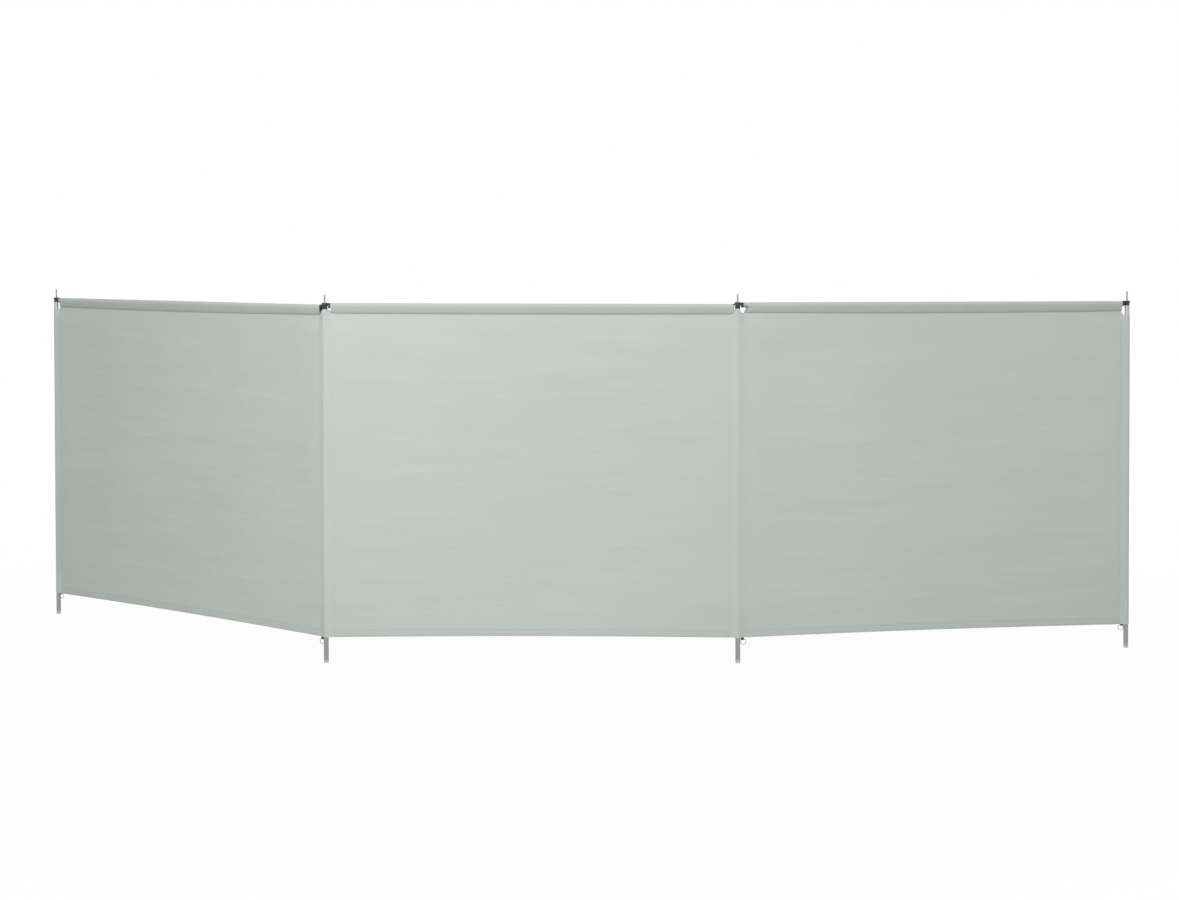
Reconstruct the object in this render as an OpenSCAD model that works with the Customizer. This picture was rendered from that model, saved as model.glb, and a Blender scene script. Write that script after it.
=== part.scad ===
// Three-bay windbreak: four tube poles with a spike on top, three top rails hooked over the spikes,
// and one run of cloth with a sleeve for every rail and pole. Sizes are in millimetres.
// The origin is the underside of the left inner pole's foot, with +X along the middle bay.

/* [Bays] */
// Distance between the axes of two neighbouring poles
bay_pitch = 1600; // [1200:10:2000]
// Angle by which the left bay stands back from the line of the middle bay
left_swing = 34; // [0:1:60]
// Angle by which the right bay stands back from the line of the middle bay
right_swing = 9.5; // [0:0.5:60]

/* [Poles] */
// Height of the shoulder on which the lowest rail eye sits
pole_height = 1388; // [1100:4:1800]
// Outside diameter of the pole tube
pole_od = 19; // [19:0.5:25]
// Wall of the pole tube
pole_wall = 1; // [0.8:0.1:2]
// Length of the foot's plug inside the tube
foot_plug = 40; // [15:1:80]
// Height of the cap's collar, from the end of the tube to the shoulder
cap_collar = 12; // [4:0.5:20]
// Chamfer round the top of the cap's collar
cap_chamfer = 1; // [0.5:0.25:3]
// Overhang of the cap's collar past the tube
cap_lip = 0.5; // [0:0.25:2]
// Length of the cap's plug inside the tube
cap_plug = 34; // [28:1:60]
// Lead-in chamfer on the inner end of every plug
plug_edge = 1; // [0.5:0.25:3]

/* [Spikes] */
// Diameter of the spike above the rail eyes
spike_d = 6; // [4:0.25:6.25]
// Diameter of the stout lower part that the rail eyes turn on
journal_d = 6.5; // [6.5:0.25:8]
// Height of the spike above the shoulder
spike_height = 45; // [30:1:80]
// Depth of the spike inside the cap
spike_root = 24; // [10:1:26]
// Height of the rounded tip
spike_tip = 3; // [1:0.5:5]

/* [Rails] */
// Outside diameter of the rail tube
rail_od = 19; // [19:0.5:25]
// Wall of the rail tube
rail_wall = 1; // [0.8:0.1:2]
// Length of the rail end's collar, from its nose to the tube
collar_len = 8; // [4:0.5:25]
// Length of rail tube left bare between the collar and the cloth
rail_show = 3.5; // [1:0.5:25]
// Thickness of the eye plate
eye_t = 6; // [4:0.5:8]
// Outside diameter of the eye
eye_od = 24; // [22:0.5:28]
// Height of the eye's top over the rail tube's top
eye_rise = 2; // [1:0.5:4]
// Width of the eye's neck where it meets the tube
neck_w = 11; // [10:0.5:18]
// Length of the eye's plug inside the rail tube
eye_plug = 30; // [15:1:60]
// Chamfer on the nose of the eye's collar
nose_chamfer = 1.5; // [1:0.5:4]

/* [Cloth] */
// Thickness of one layer of cloth
cloth_t = 1; // [0.6:0.1:1.5]
// Height of the bottom edge above the ground
ground_gap = 95; // [60:5:200]
// Height of the bottom hem
hem_h = 28; // [12:1:40]
// Height of the rail sleeve from its top to its seam
rail_sleeve_h = 40; // [34:1:60]
// Width over which the two layers of a sleeve lie together at the seam
seam_w = 6; // [3:0.5:8]
// Depth of the cut-out below the rail's axis at the end poles
end_notch = 45.5; // [34:0.5:80]
// Depth below the rail's axis of the inner sleeves' top
inner_notch = 14.5; // [5:0.5:80]
// Half angle that the flaps of an inner sleeve take up round the pole
flap_angle = 33; // [20:1:36]

/* [Peg loops] */
// Outside width of a peg loop
loop_w = 22; // [18:1:40]
// Height of a peg loop below the cloth
loop_h = 25; // [18:1:50]
// Width of the tape that the loop is folded from
loop_band = 3; // [3:0.5:6]
// Thickness of the folded tape
loop_t = 2.5; // [2:0.5:5]
// Distance between a peg loop and the pole beside it
loop_gap = 1.5; // [1.5:0.5:15]

/* [Fits] */
// Radial clearance between a sleeve and its tube
sleeve_clear = 0.3; // [0.2:0.05:0.8]
// Clearance between stacked eyes, and under the lowest one
eye_gap = 0.3; // [0.2:0.05:0.6]
// Radial clearance of an eye on its spike
eye_clear = 0.2; // [0.1:0.05:0.5]
// Gap between the cap's collar and the nose of a rail's collar
collar_gap = 1.5; // [1.5:0.25:5]
// Radial clearance of a plug in its tube
plug_clear = 0.1; // [0.05:0.05:0.3]
// Radial clearance of the spike in the cap
root_clear = 0.05; // [0.05:0.05:0.2]

/* [Hidden] */

CLOTH = [0.74, 0.77, 0.75];
SLEEVE = [0.66, 0.69, 0.67];
STEEL = [0.62, 0.62, 0.61];
BLACK = [0.10, 0.11, 0.11];
FOOT = [0.45, 0.45, 0.44];
TAPE = [0.40, 0.41, 0.36];

// Segments of a sleeve's rounded back, and the facets of turned pieces
arc_steps = 20;
turned_fn = 64;
// How far a cutting shape runs past what it cuts
past = 1;

// Each eye of a stack sits one step above the one below it; level 0 rests on the pole's shoulder
eye_step = eye_t + eye_gap;
function eye_floor(level) = pole_height + eye_gap + level * eye_step;
eye_top_over_axis = rail_od / 2 + eye_rise;
function rail_axis_z(level) = eye_floor(level) + eye_t - eye_top_over_axis;
// The first rail lies level; the next ones start on top of their neighbour's eye and run down to the shoulder
stacked_tilt = atan(eye_step / bay_pitch);

cap_r = pole_od / 2 + cap_lip;
collar_start = max(cap_r, eye_od / 2) + collar_gap;
// Distances from a pole's axis to the end of the rail tube, and to the seam beside the pole's sleeve
rail_start = collar_start + collar_len;
sleeve_reach = rail_start + rail_show;
rail_sleeve_r = rail_od / 2 + sleeve_clear;
pole_sleeve_r = pole_od / 2 + sleeve_clear;
// Height of the seam under a rail sleeve, at a distance u along a bay whose rail starts at this level
sleeve_drop = rail_sleeve_h - rail_sleeve_r - cloth_t;
function seam_z(level, tilt, u) = rail_axis_z(level) - u * tan(tilt) - sleeve_drop / cos(tilt);

// Where a straight line from (s, h) touches a circle of radius r, as the angle of the touching point
function touch_angle(r, s, h) = atan2(h, s) + acos(r / norm([s, h]));

// Outline of a band drawn round a tube of radius r and together again at (s, +h) and (s, -h)
function drop_outline(r, s, h) =
    let (a = touch_angle(r, s, h))
    concat(
        h > 0 ? [[s, -h], [s, h]] : [[s, 0]],
        [for (i = [0 : arc_steps]) let (t = a + (360 - 2 * a) * i / arc_steps) [r * cos(t), r * sin(t)]]
    );

// Cross-section of a closed sleeve round a tube, with its seam on +X
module sleeve_section(r, reach) {
    difference() {
        polygon(drop_outline(r + cloth_t, reach, cloth_t));
        polygon(drop_outline(r, reach - seam_w, 0));
    }
}

// Cross-section of the two flaps that run from a pole's sleeve to the seam on +X
module flap_section(inner_r) {
    outer = pole_sleeve_r + cloth_t;
    foot_x = outer * cos(flap_angle);
    foot_y = outer * sin(flap_angle);
    difference() {
        polygon([[sleeve_reach, -cloth_t], [sleeve_reach, cloth_t], [foot_x, foot_y], [foot_x, -foot_y]]);
        polygon([[sleeve_reach - seam_w, 0], [foot_x - past, foot_y - cloth_t], [foot_x - past, cloth_t - foot_y]]);
        circle(r = inner_r, $fn = turned_fn);
    }
}

// Cross-section of the cloth that goes right round an inner pole
module ring_section() {
    difference() {
        circle(r = pole_sleeve_r + cloth_t, $fn = turned_fn);
        circle(r = pole_sleeve_r, $fn = turned_fn);
    }
}

// Stands a cross-section up from the ground gap and cuts its top with a rounded corner that ends at the seam
module stand_cloth(top, seam) {
    corner = seam - top;
    difference() {
        translate([0, 0, ground_gap]) linear_extrude(seam - ground_gap) children();
        rotate([90, 0, 0]) linear_extrude(4 * pole_od, center = true) {
            translate([-2 * pole_od, top]) square([2 * pole_od + sleeve_reach - corner, corner + past]);
            translate([sleeve_reach - corner, seam]) circle(r = corner, $fn = turned_fn);
        }
    }
}

// Frames of the three bays: the origin is the bay's left pole, and +X runs along the bay
module left_bay() { rotate([0, 0, -left_swing]) translate([-bay_pitch, 0, 0]) children(); }
module middle_bay() { children(); }
module right_bay() { translate([bay_pitch, 0, 0]) rotate([0, 0, right_swing]) children(); }
// The right-hand end of a bay, facing back along it
module far_end() { translate([bay_pitch, 0, 0]) rotate([0, 0, 180]) children(); }
// The frame of a rail: the origin is on its axis at the left pole
module on_rail(level, tilt) { translate([0, 0, rail_axis_z(level)]) rotate([0, tilt, 0]) children(); }

module pole_tube() {
    length = pole_height - cap_collar;
    color(STEEL) difference() {
        cylinder(d = pole_od, h = length, $fn = turned_fn);
        translate([0, 0, -past]) cylinder(d = pole_od - 2 * pole_wall, h = length + 2 * past, $fn = turned_fn);
    }
}

// The foot closes the tube flush with its end, so both stand on the ground
module pole_foot() {
    plug_r = pole_od / 2 - pole_wall - plug_clear;
    color(FOOT) rotate_extrude($fn = turned_fn) polygon([
        [0, 0], [plug_r, 0], [plug_r, foot_plug - plug_edge], [plug_r - plug_edge, foot_plug], [0, foot_plug]
    ]);
}

module pole_cap() {
    plug_r = pole_od / 2 - pole_wall - plug_clear;
    bore_r = journal_d / 2 + root_clear;
    under = pole_height - cap_collar;
    color(BLACK) rotate_extrude($fn = turned_fn) polygon([
        [0, under - cap_plug], [plug_r - plug_edge, under - cap_plug], [plug_r, under - cap_plug + plug_edge],
        [plug_r, under], [cap_r, under], [cap_r, pole_height - cap_chamfer], [cap_r - cap_chamfer, pole_height],
        [bore_r, pole_height], [bore_r, pole_height - spike_root], [0, pole_height - spike_root]
    ]);
}

module pole_spike() {
    top = pole_height + spike_height;
    shoulder = eye_floor(2);
    step = (journal_d - spike_d) / 2;
    tip_steps = 4;
    color(STEEL) rotate_extrude($fn = turned_fn) polygon(concat(
        [[0, pole_height - spike_root], [journal_d / 2, pole_height - spike_root],
         [journal_d / 2, shoulder - step], [spike_d / 2, shoulder]],
        [for (i = [0 : tip_steps - 1]) let (a = 90 * i / tip_steps)
            [spike_d / 2 * cos(a), top - spike_tip + spike_tip * sin(a)]],
        [[0, top]]
    ));
}

module rail_tube() {
    length = bay_pitch - 2 * rail_start;
    color(STEEL) translate([rail_start, 0, 0]) rotate([0, 90, 0]) difference() {
        cylinder(d = rail_od, h = length, $fn = turned_fn);
        translate([0, 0, -past]) cylinder(d = rail_od - 2 * rail_wall, h = length + 2 * past, $fn = turned_fn);
    }
}

// Moulded rail end: an eye over the pole's spike, a collar beside the pole and a plug in the tube
module rail_eye() {
    r = rail_od / 2;
    plug_r = r - rail_wall - plug_clear;
    plug_end = rail_start + eye_plug;
    a = touch_angle(eye_od / 2, rail_start, neck_w / 2);
    touch = [eye_od / 2 * cos(a), eye_od / 2 * sin(a)];
    slope_start = eye_od / 2;
    color(BLACK) difference() {
        union() {
            translate([0, 0, eye_top_over_axis - eye_t]) linear_extrude(eye_t) {
                circle(d = eye_od, $fn = turned_fn);
                polygon([[0, -touch.y], [touch.x, -touch.y], [rail_start, -neck_w / 2],
                         [rail_start, neck_w / 2], [touch.x, touch.y], [0, touch.y]]);
            }
            rotate([0, 90, 0]) rotate_extrude($fn = turned_fn) polygon([
                [0, collar_start], [r - nose_chamfer, collar_start], [r, collar_start + nose_chamfer],
                [r, rail_start], [plug_r, rail_start], [plug_r, plug_end - plug_edge],
                [plug_r - plug_edge, plug_end], [0, plug_end]
            ]);
        }
        cylinder(r = journal_d / 2 + eye_clear, h = eye_top_over_axis + past, $fn = turned_fn);
        rotate([90, 0, 0]) linear_extrude(2 * eye_od, center = true) polygon([
            [slope_start, eye_top_over_axis], [rail_start + past, r - past * eye_rise / (rail_start - slope_start)],
            [rail_start + past, eye_top_over_axis + past], [slope_start, eye_top_over_axis + past]
        ]);
    }
}

module rail_sleeve() {
    color(SLEEVE) translate([sleeve_reach, 0, 0]) rotate([0, 90, 0])
        linear_extrude(bay_pitch - 2 * sleeve_reach) sleeve_section(rail_sleeve_r, sleeve_drop);
}

module panel(level, tilt) {
    left = sleeve_reach;
    right = bay_pitch - sleeve_reach;
    foot = ground_gap + hem_h;
    color(CLOTH) rotate([90, 0, 0]) linear_extrude(cloth_t, center = true) polygon([
        [left, foot], [right, foot], [right, seam_z(level, tilt, right)], [left, seam_z(level, tilt, left)]
    ]);
}

module hem() {
    color(CLOTH) translate([sleeve_reach, -cloth_t, ground_gap])
        cube([bay_pitch - 2 * sleeve_reach, 2 * cloth_t, hem_h]);
}

// The end poles carry the level end of a rail, so their seam height is the same
module end_sleeve() {
    color(SLEEVE) stand_cloth(rail_axis_z(0) - end_notch, rail_axis_z(0) - sleeve_drop)
        sleeve_section(pole_sleeve_r, sleeve_reach);
}

// The middle bay owns both inner sleeves: a ring up to the rails' ends, with flaps to the bay up to its seam
module inner_sleeve(seam) {
    color(SLEEVE) translate([0, 0, ground_gap]) {
        linear_extrude(rail_axis_z(0) - inner_notch - ground_gap) ring_section();
        linear_extrude(seam - ground_gap) flap_section(pole_sleeve_r + cloth_t / 2);
    }
}

// The outer bays own the flaps that meet the inner sleeves and turn round them
module sleeve_flap(seam) {
    color(SLEEVE) translate([0, 0, ground_gap]) linear_extrude(seam - ground_gap)
        flap_section(pole_sleeve_r + cloth_t + sleeve_clear);
}

// Tape loop for a ground peg: its bar lies along the hem beside a pole
module peg_loop() {
    round_z = ground_gap - loop_h + loop_w / 2;
    bar_z = ground_gap - loop_band;
    hole_r = loop_w / 2 - loop_band;
    beside_pole = pole_od / 2 + loop_gap + loop_w / 2;
    color(TAPE) translate([beside_pole, 0, 0]) rotate([90, 0, 0]) linear_extrude(loop_t, center = true)
        difference() {
            translate([0, round_z]) union() {
                circle(d = loop_w, $fn = turned_fn);
                translate([-loop_w / 2, 0]) square([loop_w, ground_gap - round_z]);
            }
            translate([0, round_z]) circle(r = hole_r, $fn = turned_fn);
            translate([-hole_r, round_z]) square([2 * hole_r, bar_z - round_z]);
        }
}

left_seam = seam_z(1, stacked_tilt, sleeve_reach);
right_seam = seam_z(1, stacked_tilt, bay_pitch - sleeve_reach);
level_seam = seam_z(0, 0, sleeve_reach);

left_bay() pole_tube();  // left_end_pole
middle_bay() pole_tube();  // left_inner_pole
middle_bay() far_end() pole_tube();  // right_inner_pole
right_bay() far_end() pole_tube();  // right_end_pole
left_bay() pole_foot();  // left_end_foot
middle_bay() pole_foot();  // left_inner_foot
middle_bay() far_end() pole_foot();  // right_inner_foot
right_bay() far_end() pole_foot();  // right_end_foot
left_bay() pole_cap();  // left_end_cap
middle_bay() pole_cap();  // left_inner_cap
middle_bay() far_end() pole_cap();  // right_inner_cap
right_bay() far_end() pole_cap();  // right_end_cap
left_bay() pole_spike();  // left_end_spike
middle_bay() pole_spike();  // left_inner_spike
middle_bay() far_end() pole_spike();  // right_inner_spike
right_bay() far_end() pole_spike();  // right_end_spike
left_bay() on_rail(0, 0) rail_tube();  // left_rail
middle_bay() on_rail(1, stacked_tilt) rail_tube();  // middle_rail
right_bay() on_rail(1, stacked_tilt) rail_tube();  // right_rail
left_bay() on_rail(0, 0) rail_eye();  // left_rail_outer_eye
left_bay() on_rail(0, 0) far_end() rail_eye();  // left_rail_inner_eye
middle_bay() on_rail(1, stacked_tilt) rail_eye();  // middle_rail_left_eye
middle_bay() on_rail(1, stacked_tilt) far_end() rail_eye();  // middle_rail_right_eye
right_bay() on_rail(1, stacked_tilt) rail_eye();  // right_rail_inner_eye
right_bay() on_rail(1, stacked_tilt) far_end() rail_eye();  // right_rail_outer_eye
left_bay() on_rail(0, 0) rail_sleeve();  // left_rail_sleeve
middle_bay() on_rail(1, stacked_tilt) rail_sleeve();  // middle_rail_sleeve
right_bay() on_rail(1, stacked_tilt) rail_sleeve();  // right_rail_sleeve
left_bay() panel(0, 0);  // left_panel
middle_bay() panel(1, stacked_tilt);  // middle_panel
right_bay() panel(1, stacked_tilt);  // right_panel
left_bay() hem();  // left_hem
middle_bay() hem();  // middle_hem
right_bay() hem();  // right_hem
left_bay() end_sleeve();  // left_end_sleeve
middle_bay() inner_sleeve(left_seam);  // left_inner_sleeve
middle_bay() far_end() inner_sleeve(right_seam);  // right_inner_sleeve
right_bay() far_end() end_sleeve();  // right_end_sleeve
left_bay() far_end() sleeve_flap(level_seam);  // left_sleeve_flap
right_bay() sleeve_flap(left_seam);  // right_sleeve_flap
left_bay() peg_loop();  // left_outer_peg_loop
left_bay() far_end() peg_loop();  // left_inner_peg_loop
right_bay() peg_loop();  // right_inner_peg_loop
right_bay() far_end() peg_loop();  // right_outer_peg_loop
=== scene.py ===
# %% [markdown]
# A beach windbreak in three bays. The tubes, spikes and moulded rail ends come from the construction
# model, which is loaded as a fixed frame. This file adds what construction can't show: sewn canvas,
# thread, tape loops, and the finishes of steel and plastic.
# Everything is in metres. The left inner pole stands on the origin, +X runs along the middle bay, +Z is up.

# %% Load the construction model
import math

import bpy
from mathutils import Matrix, Vector, noise


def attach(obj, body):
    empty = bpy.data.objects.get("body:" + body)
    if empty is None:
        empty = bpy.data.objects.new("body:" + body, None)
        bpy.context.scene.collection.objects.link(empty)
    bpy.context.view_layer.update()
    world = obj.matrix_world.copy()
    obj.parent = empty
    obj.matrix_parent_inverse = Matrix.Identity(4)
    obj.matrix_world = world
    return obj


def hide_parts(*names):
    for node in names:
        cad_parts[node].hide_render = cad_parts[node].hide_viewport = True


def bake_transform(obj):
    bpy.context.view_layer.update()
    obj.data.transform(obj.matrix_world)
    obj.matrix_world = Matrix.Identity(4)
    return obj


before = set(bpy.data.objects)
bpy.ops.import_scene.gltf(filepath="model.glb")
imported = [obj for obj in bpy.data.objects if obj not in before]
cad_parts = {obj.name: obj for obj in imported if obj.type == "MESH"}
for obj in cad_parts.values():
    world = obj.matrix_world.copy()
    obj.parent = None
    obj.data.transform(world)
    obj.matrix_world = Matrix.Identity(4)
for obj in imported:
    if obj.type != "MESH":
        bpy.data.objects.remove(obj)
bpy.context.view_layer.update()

# %% [markdown]
# The camera comes first, because every later decision is judged through it. A shot like this is taken at
# head height with a mild telephoto lens, and cropped so that the horizon lies high in the picture. A
# vertical shift does that crop with the lens nearly level, so upright poles stay upright. The small tilt
# and roll that remain come from fitting the camera to the poles.

# %% Camera
bpy.ops.object.camera_add(
    location=(1.105, -6.799, 1.638), rotation=[math.radians(a) for a in (88.927, 0.114, 0.653)]
)
camera = bpy.context.object
camera.name = "eye_level_camera"
camera.data.sensor_width = 36
camera.data.lens = 53.66
camera.data.shift_y = -0.1493
bpy.context.scene.camera = camera
bpy.context.scene.view_settings.view_transform = "Standard"
print("lens:", round(camera.data.lens, 1), "mm")

# %% [markdown]
# A material is a small network of nodes, and these helpers keep the networks short. One turns a colour
# as read off a screen into the linear numbers that the renderer works with, one adds a node and sets its
# values, one wires two sockets, and the others add a sum, a mix, a change of range, a noise or a bump.

# %% Node helpers
def linear(red, green, blue):
    """A screen colour, 0 to 255, as linear light."""
    def one(c):
        c /= 255
        return c / 12.92 if c <= 0.04045 else ((c + 0.055) / 1.055) ** 2.4
    return (one(red), one(green), one(blue), 1)


def add_node(tree, kind, values=(), **settings):
    """Adds a node; settings are its own options, values fill its inputs by name or number."""
    node = tree.nodes.new(kind)
    for name, value in settings.items():
        setattr(node, name, value)
    for socket, value in dict(values).items():
        node.inputs[socket].default_value = value
    return node


def wire(tree, source, target):
    tree.links.new(source, target)


def calc(tree, operation, first, second=None):
    """A Math node; first and second are sockets or plain numbers."""
    node = add_node(tree, "ShaderNodeMath", operation=operation)
    for socket, value in zip(node.inputs, (first, second)):
        if isinstance(value, (int, float)):
            socket.default_value = value
        elif value is not None:
            wire(tree, value, socket)
    return node.outputs[0]


def blend_colours(tree, share, first, second, mode="MIX"):
    """A Mix node for colours; share, first and second are sockets, numbers or colours."""
    node = add_node(tree, "ShaderNodeMix", data_type="RGBA", blend_type=mode)
    for socket, value in ((node.inputs[0], share), (node.inputs[6], first), (node.inputs[7], second)):
        if isinstance(value, (int, float, tuple)):
            socket.default_value = value
        else:
            wire(tree, value, socket)
    return node.outputs[2]


def remap(tree, source, low, high, to_low, to_high, **settings):
    """A Map Range node: low to high becomes to_low to to_high."""
    values = {"From Min": low, "From Max": high, "To Min": to_low, "To Max": to_high}
    node = add_node(tree, "ShaderNodeMapRange", values, **settings)
    wire(tree, source, node.inputs["Value"])
    return node.outputs["Result"]


def stretched_noise(tree, source, repeats, detail, dimensions="3D"):
    """Noise with its own number of repeats per metre along each axis."""
    scaled = add_node(tree, "ShaderNodeVectorMath", {1: repeats}, operation="MULTIPLY")
    wire(tree, source, scaled.inputs[0])
    values = {"Scale": 1.0, "Detail": detail}
    grain = add_node(tree, "ShaderNodeTexNoise", values, noise_dimensions=dimensions)
    wire(tree, scaled.outputs[0], grain.inputs["Vector"])
    return grain.outputs["Fac"]


def emboss(tree, height, strength, depth, under=None):
    """A Bump node; under is a coarser bump that this one lies on."""
    node = add_node(tree, "ShaderNodeBump", {"Strength": strength, "Distance": depth})
    wire(tree, height, node.inputs["Height"])
    if under is not None:
        wire(tree, under, node.inputs["Normal"])
    return node.outputs[0]


def new_material(name, **constants):
    """A material with its Principled shader; constants such as sheen_weight are set on its sockets."""
    material = bpy.data.materials.new(name)
    material.use_nodes = True
    tree = material.node_tree
    shader = tree.nodes["Principled BSDF"]
    for socket in shader.inputs:
        value = constants.pop(socket.name.lower().replace(" ", "_"), None)
        if value is not None:
            socket.default_value = value
    assert not constants, constants
    return material, tree, shader


print("white as linear light:", linear(255, 255, 255)[0])

# %% [markdown]
# The floor and the world. The object was shot on white, so what the camera sees behind it is plain white,
# and so is what metal mirrors. The light that falls on the cloth is kept apart from that and is weaker,
# or the canvas would burn out. The floor keeps a soft shadow under the object and fades to the white of
# the world with distance, so no horizon shows.

# %% World
ROOM_LIGHT = 0.52


def seen_rays(tree):
    """1 for rays that see a surface, straight on, in a mirror or through glass, and 0 for its light."""
    ray = add_node(tree, "ShaderNodeLightPath").outputs
    mirrored = calc(tree, "MAXIMUM", ray["Is Glossy Ray"], ray["Is Transmission Ray"])
    return calc(tree, "MAXIMUM", ray["Is Camera Ray"], mirrored)


def mix_to_surface(tree, share, first, second, output):
    """first where share is 0 and second where it is 1, on to the output node's surface."""
    mix = add_node(tree, "ShaderNodeMixShader")
    for source, socket in zip((share, first.outputs[0], second.outputs[0]), mix.inputs):
        wire(tree, source, socket)
    wire(tree, mix.outputs[0], tree.nodes[output].inputs["Surface"])


world = bpy.data.worlds.new("white_room")
bpy.context.scene.world = world
world.use_nodes = True
room = world.node_tree
room_light = room.nodes["Background"]
room_light.inputs["Color"].default_value = (1, 1, 1, 1)
room_light.inputs["Strength"].default_value = ROOM_LIGHT
seen_white = add_node(room, "ShaderNodeBackground", {"Color": (1, 1, 1, 1), "Strength": 1.0})
mix_to_surface(room, seen_rays(room), room_light, seen_white, "World Output")
print("room light:", ROOM_LIGHT)

# %% Floor
WHITE_SHARE = 0.96
SHADOW_FROM, SHADOW_TO = 1.6, 3.6

bpy.ops.mesh.primitive_circle_add(vertices=96, radius=40, fill_type="NGON", location=(0.9, 0.4, 0))
floor = bpy.context.object
floor.name = "studio_floor"
bpy.ops.object.transform_apply(location=True)
floor_paint, tree, shader = new_material("floor_paint", base_color=(0.42, 0.42, 0.42, 1), roughness=0.9)
place = add_node(tree, "ShaderNodeTexCoord")
centred = add_node(tree, "ShaderNodeMapping", {"Location": (-0.9, -0.4, 0)})
wire(tree, place.outputs["Object"], centred.inputs["Vector"])
far = add_node(tree, "ShaderNodeVectorMath", operation="LENGTH")
wire(tree, centred.outputs[0], far.inputs[0])
fade = remap(tree, far.outputs["Value"], SHADOW_FROM, SHADOW_TO, WHITE_SHARE, 1.0,
             interpolation_type="SMOOTHSTEP")
white = add_node(tree, "ShaderNodeEmission", {"Color": (1, 1, 1, 1), "Strength": 1.0})
white_seen = calc(tree, "MULTIPLY", seen_rays(tree), fade)
mix_to_surface(tree, white_seen, shader, white, "Material Output")
floor.data.materials.append(floor_paint)
print("floor radius:", round(floor.dimensions.x / 2, 1), "m")

# %% [markdown]
# Three large soft lamps. The front one stands left of the middle and high, so the canvas is brightest
# there, and the underside of each sewn tunnel turns away from it and goes darker. A weak one from the right
# keeps the far bay from dropping off. The one behind gives the back of the cloth enough light to be read
# when someone walks round the object.

# %% Lamps
def soft_lamp(name, place, aim, size, power):
    bpy.ops.object.light_add(type="AREA", location=place)
    lamp = bpy.context.object
    lamp.name = name
    lamp.rotation_euler = (Vector(aim) - Vector(place)).to_track_quat("-Z", "Y").to_euler()
    lamp.data.shape = "DISK"
    lamp.data.size = size
    lamp.data.energy = power
    lamp.visible_camera = False
    return lamp


front_lamp = soft_lamp("front_softbox", (-0.35, -4.2, 3.0), (0.5, 0, 0.7), 1.6, 122)
side_lamp = soft_lamp("right_softbox", (5.0, -3.6, 2.4), (1.8, 0, 0.7), 2.4, 31)
back_lamp = soft_lamp("back_softbox", (0.9, 6.4, 3.0), (0.9, 0, 0.7), 3.0, 160)
print("lamps:", [lamp.data.energy for lamp in (front_lamp, side_lamp, back_lamp)], "W")

# %% [markdown]
# Canvas is a plain weave: yarns cross over and under one another. Two sine waves at right angles,
# multiplied, give the chequered bumps of such a weave. It is a group, as the webbing uses it too.
# Its coordinate is the cloth's own flat pattern in metres, so the yarns follow every fold.

# %% Weave group
def new_group(name, inputs, outputs):
    """A shader node group with float or vector sockets; inputs give (name, kind, value)."""
    group = bpy.data.node_groups.new(name, "ShaderNodeTree")
    for label, kind, value in inputs:
        socket = group.interface.new_socket(name=label, in_out="INPUT", socket_type=kind)
        if value is not None:
            socket.default_value = value
    for label, kind in outputs:
        group.interface.new_socket(name=label, in_out="OUTPUT", socket_type=kind)
    return group, group.nodes.new("NodeGroupInput"), group.nodes.new("NodeGroupOutput")


FLOAT, VECTOR = "NodeSocketFloat", "NodeSocketVector"

weave, inside, outside = new_group(
    "weave",
    [("Flat Pattern", VECTOR, None), ("Yarns per Metre", FLOAT, 900.0), ("Slub", FLOAT, 0.3)],
    [("Height", FLOAT), ("Yarn Shade", FLOAT)],
)
apart = add_node(weave, "ShaderNodeSeparateXYZ")
wire(weave, inside.outputs["Flat Pattern"], apart.inputs[0])
turn = calc(weave, "MULTIPLY", inside.outputs["Yarns per Metre"], math.pi)
warp = calc(weave, "SINE", calc(weave, "MULTIPLY", apart.outputs["X"], turn))
weft = calc(weave, "SINE", calc(weave, "MULTIPLY", apart.outputs["Y"], turn))
crossing = calc(weave, "MULTIPLY", warp, weft)
slub_noise = [stretched_noise(weave, inside.outputs["Flat Pattern"], repeats, 1.0, "2D")
              for repeats in ((6.0, 900.0, 1.0), (900.0, 6.0, 1.0))]
slub = calc(weave, "SUBTRACT", calc(weave, "ADD", slub_noise[0], slub_noise[1]), 1.0)
slubs = calc(weave, "MULTIPLY", slub, inside.outputs["Slub"])
for label, crossing_share in (("Height", 0.5), ("Yarn Shade", 0.12)):
    crossings = calc(weave, "MULTIPLY", crossing, crossing_share)
    wire(weave, calc(weave, "ADD", crossings, slubs), outside.inputs[label])


def place_weave(tree, yarns=900.0, slub=0.3):
    """The weave in a material; returns the group and the flat pattern that it reads."""
    flat = add_node(tree, "ShaderNodeUVMap", uv_map="flat_pattern").outputs[0]
    values = {"Yarns per Metre": yarns, "Slub": slub}
    group = add_node(tree, "ShaderNodeGroup", values, node_tree=weave)
    wire(tree, flat, group.inputs["Flat Pattern"])
    return group, flat


print("weave nodes:", len(weave.nodes))

# %% [markdown]
# Nothing that has stood on a beach is one even colour. This group gives slow, soft patches for sun and
# dust, and finer specks for grain. It reads the object's own coordinates, so it works on every shape.

# %% Weathering group
weathering, inside, outside = new_group(
    "weathering",
    [("Place", VECTOR, None), ("Patch Scale", FLOAT, 2.0), ("Speck Scale", FLOAT, 300.0)],
    [("Patches", FLOAT), ("Specks", FLOAT)],
)
for label, scale_name, detail in (("Patches", "Patch Scale", 3.0), ("Specks", "Speck Scale", 2.0)):
    cloud = add_node(weathering, "ShaderNodeTexNoise", {"Detail": detail, "Roughness": 0.55})
    wire(weathering, inside.outputs["Place"], cloud.inputs["Vector"])
    wire(weathering, inside.outputs[scale_name], cloud.inputs["Scale"])
    wire(weathering, cloud.outputs["Fac"], outside.inputs[label])


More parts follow.
